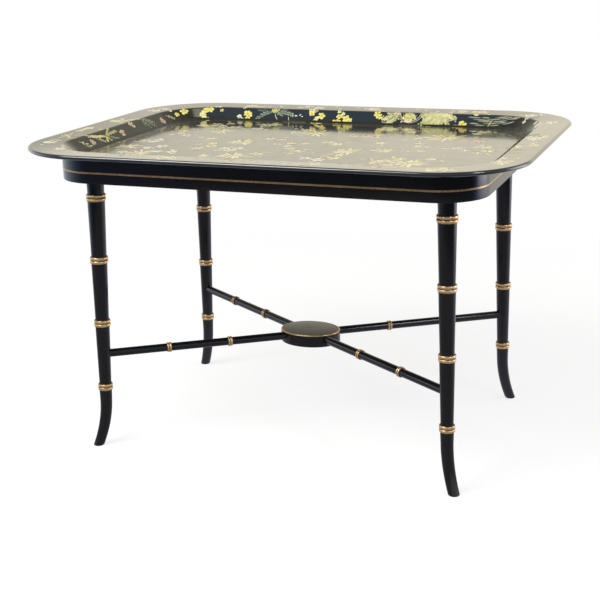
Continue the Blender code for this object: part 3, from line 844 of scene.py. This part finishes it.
POSIES = (
    (-208, 269, 1), (-87, 276, 2, PEARL), (28, 272, 1), (202, 273, 2), (227, 272, 1, BLUSH),
    (324, 256, 2, PEARL), (350, 175, 2, PEARL), (365, 22, 3, PEARL), (361, -53, 2), (345, -160, 1),
    (290, -262, 3), (100, -266, 2, PEARL), (-125, -266, 3), (-305, -225, 2, PEARL), (-379, -57, 2),
    (-375, -187, 2, PEARL), (-373, 41, 1), (-359, 188, 2, PEARL), (77, 112, 3, BLUSH), (-154, -29, 2),
    (-181, 27, 1), (-204, 151, 2), (-146, 144, 1, PEARL), (-70, 45, 2), (35, 28, 2), (176, 41, 2, PEARL),
    (191, -11, 1), (249, 17, 2, PEARL), (285, 2, 2), (247, 101, 2, BLUSH), (156, 105, 1, PEARL),
    (46, 102, 1), (-60, 136, 2, PEARL), (-6, -46, 2), (7, -69, 2, BLUSH), (-106, -62, 3, PEARL),
    (82, -89, 2), (-238, -72, 2, PEARL), (-273, -12, 3, PEARL), (-250, 59, 2, PEARL), (-268, 96, 1),
    (-247, 162, 2, PEARL), (-217, 188, 1), (-48, -95, 1), (171, -95, 2), (153, -113, 1, PEARL),
    (165, -133, 2, BLUSH), (227, -78, 1), (-202, -108, 2, PEARL), (-268, -127, 1), (-126, -145, 2),
    (244, 182, 2), (122, 176, 2), (275, -158, 2), (-20, -182, 2, PEARL), (122, -173, 3), (-19, 11, 2),
    (-29, -14, 1, PEARL), (51, -117, 2, PEARL), (-162, -66, 1), (112, 45, 1, PEARL),
)
SPRIGS = (
    (-340, -139, 26, 1.2), (-336, -86, 18, 1.4), (58, 250, 16, 2.9), (140, -252, 35, 0.2),
    (-338.3, 165.1, 20, 0.9), (300, -205, 30, 0.7),
)
RIM_TOUCHES = (
    (55, -264, 9, 110), (205, -264, 8, 100), (-50, -266, 8, 90), (-220, -264, 8, 100), (150, 272, 6, 140),
    (-150, 274, 6, 120), (-20, 272, 5, 100),
)
RIM_TOUCH_SIZE = 8.5
RIM_STRAY = 10
STREAKS = 17
STREAKS_START = (206, 244.5)
STREAK_PITCH = 4.8
STREAK_DROP = 3
STREAK_WIDTH = 3


def paint_walls(leaves, blossoms):
    for motif in BACK_WALL_BLOSSOMS:
        blossom(blossoms, *motif)
    for x, y, size, *paint in SIDE_WALL_BLOSSOMS:
        blossom(blossoms, x, y, size, *paint)
        for k in range(3):
            dab(blossoms, (x, y), polar(0.42 * size, k * 2.2 + 0.05 * y), 0.3 * size, CREAM, layer=2)
    for motif in FEATHERED_SPRAYS:
        spray(leaves, *motif)
    for motif in LOBED_SPRAYS:
        spray(leaves, *motif, lobe)
    for motif in LOOSE_SPRAYS:
        loose_spray(leaves, *motif)
    bud(leaves, *BUD)


def paint_feather_touches(leaves):
    """Upright leaves, stalks and pale touches about the first spray on the back wall."""
    for heading, length in ((128, 12), (104, 13), (80, 12), (52, 13)):
        leaves.stroke(FIRST_SPRAY, (0, -3), radians(heading), length, 3.4, GOLD_LEAF, layer=2)
    fine_line(leaves, FIRST_SPRAY, (1, -4), radians(-69), 19, 0.4)
    fine_line(leaves, FIRST_SPRAY, (29, -10), radians(-80), 9, 0.2)
    dabs_along(leaves, FIRST_SPRAY, (34, -6), 0.1, 22, -0.5, 5, 3.4)


def paint_streaks(leaves):
    """A lone stalk on the back wall, and dull olive streaks laid across its right end."""
    fine_line(leaves, LONE_STALK, (0, 6), radians(242), 20, 0.2)
    x, y = STREAKS_START
    for k in range(STREAKS):
        start = (x + STREAK_PITCH * k, y - STREAK_DROP * (k * 3 % 5))
        heading, length = chance.uniform(-0.07, 0.04), wobble(24, 0.4)
        leaves.stroke(start, MIDDLE, heading, length, STREAK_WIDTH, DULL_OLIVE, **STREAK)


def paint_tray():
    leaves, blossoms = Painting(), Painting()
    paint_walls(leaves, blossoms)
    paint_feather_touches(leaves)
    paint_streaks(leaves)
    for motif in STARS:
        star(blossoms, *motif)
    for motif in SPRIGS:
        sprig(leaves, *motif)
    for motif in POSIES:
        posy(blossoms, *motif)
    for x, y, count, length in RIM_TOUCHES:
        for k in range(count):
            place = (x + length * (k / count - 0.5), y + chance.uniform(-RIM_STRAY, RIM_STRAY))
            dab(leaves, place, MIDDLE, RIM_TOUCH_SIZE, chance.choice((PEARL, STRAW)))
    leaves.finish("painted_leaves", LEAF_PAINT)
    blossoms.finish("painted_blossoms", BLOSSOM_PAINT)


# Apron

def apron_ring(outset, height):
    outline = rounded_rectangle(APRON_X + outset, APRON_Y + outset, APRON_CORNER_RADIUS + outset)
    return [(x, y, height) for x, y in outline]


def closed_band(name, rings):
    """A mesh over rings of points, with the last joined back to the first."""
    bm = loft(rings, around=True)
    bmesh.ops.recalc_face_normals(bm, faces=bm.faces)
    return mesh_of(name, bm)


def make_apron():
    """The lacquer skin over the joints of the apron, turned under its lower edge."""
    film = LACQUER_FILM
    bottom = APRON_BOTTOM - film
    lining = bottom + film / 2
    turn = arc((film - APRON_ARRIS, bottom + APRON_ARRIS), APRON_ARRIS, 0, -pi / 2, ARRIS_SEGMENTS)
    outside = [(film, APRON_TOP)] + turn + [(-APRON_RETURN, bottom)]
    inside = [(-APRON_RETURN, lining), (film / 2 - APRON_ARRIS, lining), (film / 2, APRON_TOP)]
    rings = [apron_ring(outset, height) for outset, height in outside + inside]
    add_piece(closed_band("apron_lacquer", rings), [FLAT_LACQUER], *ON_STAND)


def make_gilt_line():
    """A hand-drawn line of gilding round the apron, which strays a little up and down."""
    reach, root = LACQUER_FILM + GILT_FILM, LACQUER_FILM / 2
    half = GILT_LINE_WIDTH / 2
    crest = 0.8 * half
    section = [(root, half), (reach, crest), (reach, 0), (reach, -crest), (root, -half)]
    rings = [apron_ring(outset, GILT_LINE_HEIGHT + height) for outset, height in section]
    for ring in rings:
        for i, (x, y, z) in enumerate(ring):
            ring[i] = (x, y, z + sum(rise * sin(x * by_x + y * by_y) for rise, by_x, by_y in HAND_WAVES))
    mesh = closed_band("apron_gilt_line", rings)
    painted_light_and_tone = mesh.attributes.new("painted_light_and_tone", "FLOAT", "POINT")
    painted_light_and_tone.data.foreach_set("value", [GILT_LINE_CROWN] * len(mesh.vertices))
    add_piece(mesh, [GILT], *ON_STAND)


# Turned pieces

LACQUERED, GILDED = 0, 1


def add_ring(bm, places, light_and_tone_share):
    """Points of a ring, each with how bright its gilding is, from 0 to 1: painted light and shade on turned
    beads, a set tone on the boss.
    """
    painted_light_and_tone = bm.verts.layers.float["painted_light_and_tone"]
    points = [bm.verts.new(place) for place in places]
    for point in points:
        point[painted_light_and_tone] = light_and_tone_share
    return points


def skin_rings(bm, rings, slots, sides):
    """Faces from each ring down to the next. A ring of one point is a pole."""
    for upper, lower, slot in zip(rings, rings[1:], slots):
        for i in range(sides):
            j = (i + 1) % sides
            corners = [ring[k % len(ring)] for ring, k in ((upper, i), (lower, i), (lower, j), (upper, j))]
            face = bm.faces.new(list(dict.fromkeys(corners)))
            face.material_index = slot


def lathe(name, profile, sides, drift=lambda height: 0.0):
    """A solid turned about Z from points of radius, height, material and painted light on the gilding, from
    pole down to pole.
    """
    bm = bmesh.new()
    bm.verts.layers.float.new("painted_light_and_tone")
    rings = []
    for radius, height, _, light_and_tone_share in profile:
        count = sides if radius > 0 else 1
        angles = [tau * i / count for i in range(count)]
        places = [(drift(height) + radius * cos(a), radius * sin(a), height) for a in angles]
        rings.append(add_ring(bm, places, light_and_tone_share))
    skin_rings(bm, rings, [slot for _, _, slot, _ in profile], sides)
    return mesh_of(name, bm)


def double_ring(middle, radius, length, rise):
    """Two gilded beads with a groove between them, from the top down, bright on each crown and darkened by
    painted shade toward the bead edges and in the groove.
    """
    half = length / 4
    points = []
    for bead in (middle + half, middle - half):
        for i in range(BEAD_SEGMENTS + 1):
            angle = pi / 2 - pi * i / BEAD_SEGMENTS
            swell = cos(angle)
            # the swell also sets the gilding's brightness: painted light on the crown, painted shade at the
            # bead's edges and in the groove
            points.append((radius + rise * swell, bead + half * sin(angle), GILDED, swell))
    groove = BEAD_SEGMENTS
    return points[:groove] + points[groove + 1:]


def leg_radius(height):
    return (LEG_FOOT_DIAMETER + (LEG_TOP_DIAMETER - LEG_FOOT_DIAMETER) * height / APRON_BOTTOM) / 2


def leg_drift(height):
    splay = LEG_SPLAY * max(APRON_BOTTOM - height, 0)
    below = max(FOOT_SWEEP_HEIGHT - height, 0) / FOOT_SWEEP_HEIGHT
    return splay + FOOT_SWEEP * below**2


def leg_ring_heights():
    top = APRON_BOTTOM - TOP_RING_DROP
    steps = [SEGMENT_GROWTH**i for i in range(LEG_RINGS - 1)]
    unit = (top - FOOT_RING_HEIGHT) / sum(steps)
    return [top - unit * sum(steps[:i]) for i in range(LEG_RINGS)]


def leg_profile():
    tenon = LEG_TENON_DIAMETER / 2
    tenon_top = APRON_BOTTOM + LEG_TENON_LENGTH
    shoulder = APRON_BOTTOM - FIT_GAP
    points = [(0, tenon_top), (tenon, tenon_top), (tenon, shoulder), (leg_radius(shoulder), shoulder)]
    points = [(radius, height, LACQUERED, 0) for radius, height in points]
    for middle in leg_ring_heights():
        radius = leg_radius(middle)
        ring = double_ring(middle, radius, LEG_RING_LENGTH, LEG_RING_RISE)
        above, below = ring[0][1], ring[-1][1]
        points += [(radius - NODE_SWELL, above, GILDED, 0)] + ring[1:-1]
        points.append((radius + NODE_SWELL, below, LACQUERED, 0))
    for i in range(FOOT_STATIONS):
        height = FOOT_SWEEP_HEIGHT * (1 - i / FOOT_STATIONS)
        points.append((leg_radius(height), height, LACQUERED, 0))
    sole = leg_radius(0)
    ends = [(sole, FOOT_CHAMFER), (sole - FOOT_CHAMFER, 0), (0, 0)]
    return points + [(radius, height, LACQUERED, 0) for radius, height in ends]


def toward_leg(sx, sy):
    """The turn about Z that brings +X round to a leg."""
    return Matrix.Rotation(atan2(sy * LEG_Y, sx * LEG_X), 4, "Z")


def make_legs():
    for corner, (sx, sy) in CORNERS.items():
        mesh = lathe(f"leg_turned_{corner}", leg_profile(), TURNED_SIDES, leg_drift)
        mesh.transform(Matrix.Translation((sx * LEG_X, sy * LEG_Y, 0)) @ toward_leg(sx, sy))
        leg = add_piece(mesh, [UPRIGHT_LACQUER, GILT], *ON_STAND)
        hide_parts(f"leg_{corner}")


def boss_reach():
    across_x = LEG_X / LEG_REACH / (BOSS_LENGTH / 2)
    across_y = LEG_Y / LEG_REACH / (BOSS_WIDTH / 2)
    return 1 / hypot(across_x, across_y)


def arm_profile():
    leg_axis = LEG_REACH + leg_drift(ARM_HEIGHT)
    outer = leg_axis - leg_radius(ARM_HEIGHT) + ARM_SEAT
    inner = boss_reach() - ARM_SEAT
    body = ARM_DIAMETER / 2
    points = [(0, outer, LACQUERED, 0), (body, outer, LACQUERED, 0)]
    for middle in (leg_axis - ARM_RING_FROM_LEG, leg_axis - ARM_RING_FROM_LEG - ARM_RING_PITCH):
        ring = double_ring(middle, body, ARM_RING_LENGTH, ARM_RING_RISE)
        radius, height, _, _ = ring[-1]
        points += ring[:-1] + [(radius, height, LACQUERED, 0)]
    return points + [(body, inner, LACQUERED, 0), (0, inner, LACQUERED, 0)]


def make_arms():
    for corner, (sx, sy) in CORNERS.items():
        mesh = lathe(f"stretcher_arm_turned_{corner}", arm_profile(), TURNED_SIDES)
        level = toward_leg(sx, sy) @ Matrix.Rotation(pi / 2, 4, "Y")
        mesh.transform(Matrix.Translation((0, 0, ARM_HEIGHT)) @ level)
        arm = add_piece(mesh, [FLAT_LACQUER, GILT], *ON_STAND)
        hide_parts(f"stretcher_arm_{corner}")


def make_boss():
    """The oval boss where the arms meet, with a gilt line on its upper edge."""
    level = ARM_HEIGHT - BOSS_DROP
    half = BOSS_THICKNESS / 2
    rounding = BOSS_ROUNDING
    middle = BOSS_WIDTH / 2 - BOSS_MIDDLE
    upper = arc((rounding, half - rounding), rounding, pi / 2, pi, ARRIS_SEGMENTS)
    lower = arc((rounding, rounding - half), rounding, pi, pi * 1.5, ARRIS_SEGMENTS)
    section = [(middle, half)] + upper + lower + [(middle, -half)]
    gilded = range(1, len(upper))
    slots = [GILDED if i in gilded else LACQUERED for i in range(len(section))]
    bm = bmesh.new()
    bm.verts.layers.float.new("painted_light_and_tone")
    angles = [tau * i / BOSS_SIDES for i in range(BOSS_SIDES)]
    rings = []
    for inset, height in section:
        reach_x, reach_y = BOSS_LENGTH / 2 - inset, BOSS_WIDTH / 2 - inset
        places = [(reach_x * cos(a), reach_y * sin(a), level + height) for a in angles]
        rings.append(add_ring(bm, places, BOSS_CROWN))
    skin_rings(bm, rings, slots, BOSS_SIDES)
    bm.faces.new(rings[0])
    bm.faces.new(list(reversed(rings[-1])))
    bmesh.ops.recalc_face_normals(bm, faces=bm.faces)
    mesh = mesh_of("stretcher_boss_oval", bm)
    boss = add_piece(mesh, [FLAT_LACQUER, GILT], *ON_STAND)
    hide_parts("stretcher_boss")


def dress_solids():
    """Finishes for the solids that stay: the apron's core, the bearers, dowels, screws and wire."""
    finishes = (
        ("rail_", FLAT_LACQUER), ("corner_block_", FLAT_LACQUER), ("bearer_screw_", STEEL),
        ("edge_wire", STEEL), ("bearer_", WOOD_ALONG_Y), ("dowel_front_", WOOD_ALONG_X),
        ("dowel_back_", WOOD_ALONG_X), ("dowel_", WOOD_ALONG_Y),
    )
    for name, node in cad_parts.items():
        finish = next((material for start, material in finishes if name.startswith(start)), None)
        if finish is None:
            continue
        node.data.materials.clear()
        node.data.materials.append(finish)


# Studio

FILL = 0.4
FILL_COLOUR = (1.0, 0.99, 0.97)
WHITE = (1.0, 1.0, 1.0)
AIM = Vector((0, 0, 0.42))
FLOOR_RADIUS = 1.7
FLOOR_SIDES = 96
FLOOR_DROP = 0.0002  # keeps the floor clear of the feet
FLOOR_COLOUR = (0.8, 0.8, 0.79)
FLOOR_SHADE = (0.3, 0.3, 0.3)  # the part of the floor's white that the shadow can darken
FLOOR_GLOW = 0.77  # the part that it can't
FLOOR_FADE = (0.9, 1.5)  # the floor turns from a shaded white to the backdrop's white between these distances
FLOOR_MIRRORED = ((-0.3, 0.34), (0.5, 0.9))  # how bright reflections show the floor, in front and behind
FLOOR_MIRRORED_COLOUR = (0.86, 0.87, 1.0)

# What reflections show round the room, as degrees from the front, right side positive, and a colour
BELOW_EYE_LEVEL = (
    (-180, (0.95, 0.88, 0.72)), (-147, (0.95, 0.95, 0.9)), (-100, (1.0, 1.15, 1.3)),
    (-80, (0.75, 0.92, 1.1)), (-61, (0.33, 0.5, 0.62)), (-45, (0.17, 0.22, 0.42)),
    (-25, (0.09, 0.1, 0.14)), (0, (0.06, 0.07, 0.08)), (90, (0.06, 0.07, 0.1)),
    (98, (0.08, 0.14, 0.3)), (107, (0.6, 0.7, 1.15)), (117, (1.7, 1.7, 2.1)), (136, (1.8, 1.8, 1.95)),
    (148, (1.2, 1.2, 1.2)), (165, (0.8, 0.78, 0.7)), (180, (0.95, 0.88, 0.72)),
)
ABOVE_EYE_LEVEL = (
    (-180, (0.97, 0.9, 0.7)), (-164, (0.95, 0.88, 0.71)), (-160, (0.87, 0.81, 0.65)),
    (-154, (0.86, 0.81, 0.66)), (-152, (0.75, 0.7, 0.58)), (-147, (0.6, 0.57, 0.48)),
    (-130, (0.9, 0.95, 0.95)), (-105, (1.5, 1.7, 2.0)), (-80, (1.6, 1.8, 2.1)), (-55, (0.6, 0.75, 1.0)),
    (-20, (0.4, 0.5, 0.7)), (30, (0.5, 0.62, 0.85)), (90, (1.2, 1.2, 1.3)), (120, (1.7, 1.7, 1.9)),
    (150, (1.1, 1.05, 0.95)), (180, (0.97, 0.9, 0.7)),
)
EYE_LEVEL = (0.9, 0.845, 0.69)
# What they show overhead, by how far back it lies
OVERHEAD = (
    (0.0, (0.28, 0.42, 0.52)), (0.25, (0.24, 0.23, 0.15)), (0.5, (0.4, 0.38, 0.28)),
    (0.86, (0.46, 0.43, 0.34)),
)
# Between which heights of a direction one of these turns into the next
BELOW_TO_EYE_LEVEL = (-0.05, 0.05)
EYE_LEVEL_TO_ABOVE = (0.1, 0.145)
ABOVE_TO_OVERHEAD = (0.18, 0.45)

# Softboxes: place, width and height, power, colour
LAMPS = {
    "key": ((-0.92, -1.3, 2.05), (1.4, 1.2), 47, (1.0, 0.985, 0.96)),
    "side": ((1.85, 0.85, 0.8), (1.2, 1.6), 9, (1.0, 0.98, 0.98)),
    "low": ((1.6, -0.78, 1.54), (0.4, 0.3), 6, (0.95, 0.95, 1.0)),
    "ceiling": ((0.0, 0.37, 2.4), (0.34, 0.34), 0.7, (1.0, 0.95, 0.6)),
}


def seen_directly(n):
    """1 for rays from the camera, and for those that a gloss or glass sends on."""
    path = n.add("LightPath").outputs
    share = path["Is Camera Ray"]
    for key in ("Is Glossy Ray", "Is Transmission Ray"):
        share = n.join("Math", share, path[key], operation="MAXIMUM")
    return share


def compass(n, axes):
    """How far a direction is turned: 0 at the back, then by the left, front and right to 1 at the back."""
    flipped = n.join("Math", axes["Y"], -1, operation="MULTIPLY")
    angle = n.join("Math", axes["X"], flipped, operation="ARCTAN2")
    return n.span(angle, -pi, pi)


def colour_stops(n, share, stops):
    node = n.add("ValToRGB", Fac=share)
    elements = node.color_ramp.elements
    while len(elements) < len(stops):
        elements.new(1.0)
    for element, (place, colour) in zip(elements, stops):
        element.position = place
        element.color = (*colour, 1)
    return node.outputs["Color"]


def by_share(stops):
    """The stops with degrees from the front turned into shares of the whole turn."""
    return [((degrees + 180) / 360, colour) for degrees, colour in stops]


def make_world():
    """White to the camera, a coloured room in reflections, and an even fill."""
    world = bpy.data.worlds.new("studio")
    bpy.context.scene.world = world
    n = Nodes(world)
    n.tree.nodes.clear()
    way = n.add("TexCoord").outputs["Generated"]
    axes = n.add("SeparateXYZ", Vector=way).outputs
    turn, height = compass(n, axes), axes["Z"]
    below = colour_stops(n, turn, by_share(BELOW_EYE_LEVEL))
    above = colour_stops(n, turn, by_share(ABOVE_EYE_LEVEL))
    upper = n.blend(n.span(height, *EYE_LEVEL_TO_ABOVE), EYE_LEVEL, above)
    walls = n.blend(n.span(height, *BELOW_TO_EYE_LEVEL), below, upper)
    overhead = colour_stops(n, axes["Y"], OVERHEAD)
    room = n.blend(n.span(height, *ABOVE_TO_OVERHEAD), walls, overhead)
    camera_ray = n.add("LightPath").outputs["Is Camera Ray"]
    seen = n.add("Background", Color=n.blend(camera_ray, room, WHITE), Strength=1)
    fill = n.add("Background", Color=FILL_COLOUR, Strength=FILL)
    surface = n.mix_shaders(seen_directly(n), fill.outputs[0], seen.outputs[0])
    n.add("OutputWorld", Surface=surface)


def floor_material():
    """White to the eye, with the table's shadow on it, fading into the white backdrop."""
    n = new_material("studio_floor")
    n.tree.nodes.clear()
    plain, shaded = (n.add("BsdfDiffuse", Color=c).outputs[0] for c in (FLOOR_COLOUR, FLOOR_SHADE))
    glow, white = (n.add("Emission", Strength=s).outputs[0] for s in (FLOOR_GLOW, 1))
    place = n.add("TexCoord").outputs["Object"]
    distance = n.add("VectorMath", {"operation": "LENGTH"}, Vector=place).outputs["Value"]
    lifted = n.join("AddShader", shaded, glow)
    seen = n.mix_shaders(n.span(distance, *FLOOR_FADE), lifted, white)
    back = n.add("SeparateXYZ", Vector=place).outputs["Y"]
    (front, dim), (behind, light_and_tone_share) = FLOOR_MIRRORED
    strength = n.span(back, front, behind, dim, light_and_tone_share)
    mirrored = n.add("Emission", Color=FLOOR_MIRRORED_COLOUR, Strength=strength).outputs[0]
    glossy_ray = n.add("LightPath").outputs["Is Glossy Ray"]
    seen = n.mix_shaders(glossy_ray, seen, mirrored)
    n.add("OutputMaterial", Surface=n.mix_shaders(seen_directly(n), plain, seen))
    return n.owner


def make_floor():
    bm = bmesh.new()
    bmesh.ops.create_circle(bm, cap_ends=True, segments=FLOOR_SIDES, radius=FLOOR_RADIUS)
    mesh = mesh_of("studio_floor", bm)
    mesh.materials.append(floor_material())
    floor = add_object("studio_floor", mesh)
    floor.location.z = -FLOOR_DROP
    floor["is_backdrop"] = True


def make_lamps():
    for name, (place, size, power, colour) in LAMPS.items():
        lamp = bpy.data.lights.new(name, "AREA")
        lamp.shape = "RECTANGLE"
        lamp.size, lamp.size_y = size
        lamp.energy = power
        lamp.color = colour
        holder = add_object(name, lamp)
        holder.location = place
        holder.rotation_euler = (AIM - Vector(place)).to_track_quat("-Z", "Y").to_euler()
        holder.visible_camera = False


# Camera, from the fit of the table's outline, rings and feet to the photograph

CAMERA_PLACE = (0.6844, -1.8193, 0.8019)
CAMERA_YAW, CAMERA_PITCH, CAMERA_ROLL = 0.3791, -0.2989, -0.0254
CAMERA_LENS = 72.6
SENSOR = 36
CAMERA_SHIFT = (0.0202, 0.0135)


def make_camera():
    lens = bpy.data.cameras.new("camera")
    lens.sensor_width = SENSOR
    lens.lens = CAMERA_LENS
    lens.shift_x, lens.shift_y = CAMERA_SHIFT
    camera = add_object("camera", lens)
    pose = Matrix.Translation(CAMERA_PLACE)
    for angle, axis in ((CAMERA_YAW, "Z"), (pi / 2 + CAMERA_PITCH, "X"), (CAMERA_ROLL, "Z")):
        pose = pose @ Matrix.Rotation(angle, 4, axis)
    camera.matrix_world = pose
    bpy.context.scene.camera = camera


def main():
    make_tray()
    paint_tray()
    make_apron()
    make_gilt_line()
    make_legs()
    make_arms()
    make_boss()
    dress_solids()
    make_world()
    make_floor()
    make_lamps()
    make_camera()
    bpy.context.scene.view_settings.view_transform = "Standard"


main()
bpy.context.view_layer.update()
boxes = {"cad": CAD_BOX, "visual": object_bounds()}
{key: [list(map(float, corner)) for corner in box] for key, box in boxes.items()}
